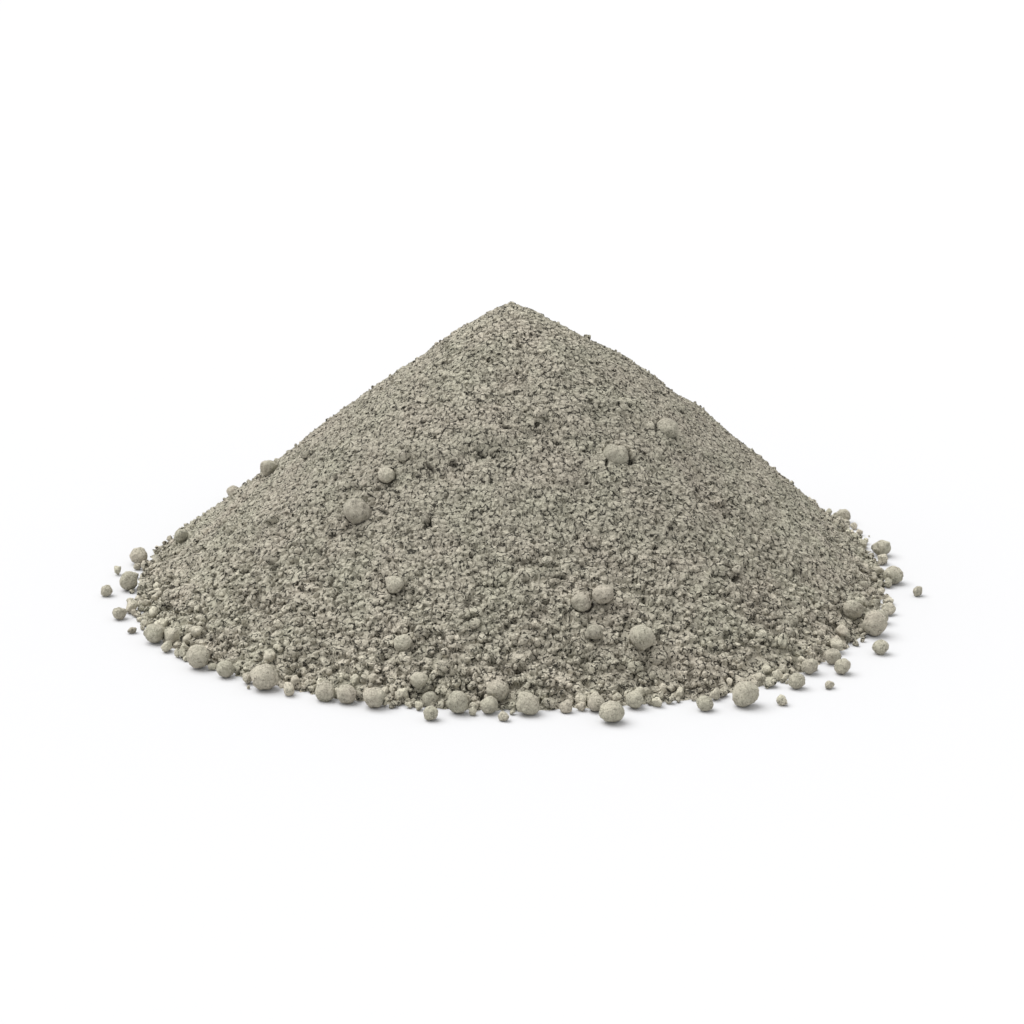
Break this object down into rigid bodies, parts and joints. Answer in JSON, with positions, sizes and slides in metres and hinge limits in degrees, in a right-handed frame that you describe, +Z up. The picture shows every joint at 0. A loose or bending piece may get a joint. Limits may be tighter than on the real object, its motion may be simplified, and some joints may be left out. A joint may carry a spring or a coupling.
{
  "type": "heap of dry render",
  "caption": "Loose conical heap of dry grey render powder, with rounded lumps bedded in its flank, lying along its toe and strayed a little way over the floor.",
  "frame": {"origin": "on the floor under the heap's tip, at the middle of its footprint", "axes": "+Z up, -Y towards the side that the picture shows, +X to the right in it"},
  "size_m": [0.2208, 0.2242, 0.0762],
  "materials": {
    "powder": "dry, matt, warm grey cement and lime powder with grains up to 1.5 mm, unfired and unpainted",
    "lump": "caked dry powder, matt, finely rough, dusted with loose grains",
    "pellet": "caked dry powder, matt, finely rough"
  },
  "bodies": {
    "root": {"powder_mound": "powder", "flank_lump_01": "lump", "flank_lump_02": "lump", "flank_lump_03": "lump", "flank_lump_04": "lump", "flank_lump_05": "lump", "flank_lump_06": "lump", "flank_lump_07": "lump", "flank_lump_08": "lump", "flank_lump_09": "lump", "flank_lump_10": "lump", "flank_lump_11": "lump", "flank_lump_12": "lump", "flank_lump_13": "lump", "flank_lump_14": "lump", "flank_lump_15": "lump", "flank_lump_16": "lump", "flank_lump_17": "lump", "flank_lump_18": "lump", "toe_lump_01": "lump", "toe_lump_02": "lump", "toe_lump_03": "lump", "toe_lump_04": "lump", "toe_lump_05": "lump", "toe_lump_06": "lump", "toe_lump_07": "lump", "toe_lump_08": "lump", "toe_lump_09": "lump", "toe_lump_10": "lump", "toe_lump_11": "lump", "toe_lump_12": "lump", "toe_lump_13": "lump", "toe_lump_14": "lump", "toe_lump_15": "lump", "toe_lump_16": "lump", "toe_lump_17": "lump", "toe_lump_18": "lump", "toe_lump_19": "lump", "toe_lump_20": "lump", "toe_lump_21": "lump", "toe_lump_22": "lump", "toe_lump_23": "lump", "toe_lump_24": "lump", "toe_lump_25": "lump", "toe_lump_26": "lump", "toe_lump_27": "lump", "toe_lump_28": "lump", "stray_pellet_01": "pellet", "stray_pellet_02": "pellet", "stray_pellet_03": "pellet", "stray_pellet_04": "pellet", "stray_pellet_05": "pellet", "stray_pellet_06": "pellet", "stray_pellet_07": "pellet", "stray_pellet_08": "pellet", "stray_pellet_09": "pellet", "stray_pellet_10": "pellet", "stray_pellet_11": "pellet", "stray_pellet_12": "pellet", "stray_pellet_13": "pellet"}
  },
  "joints": []
}
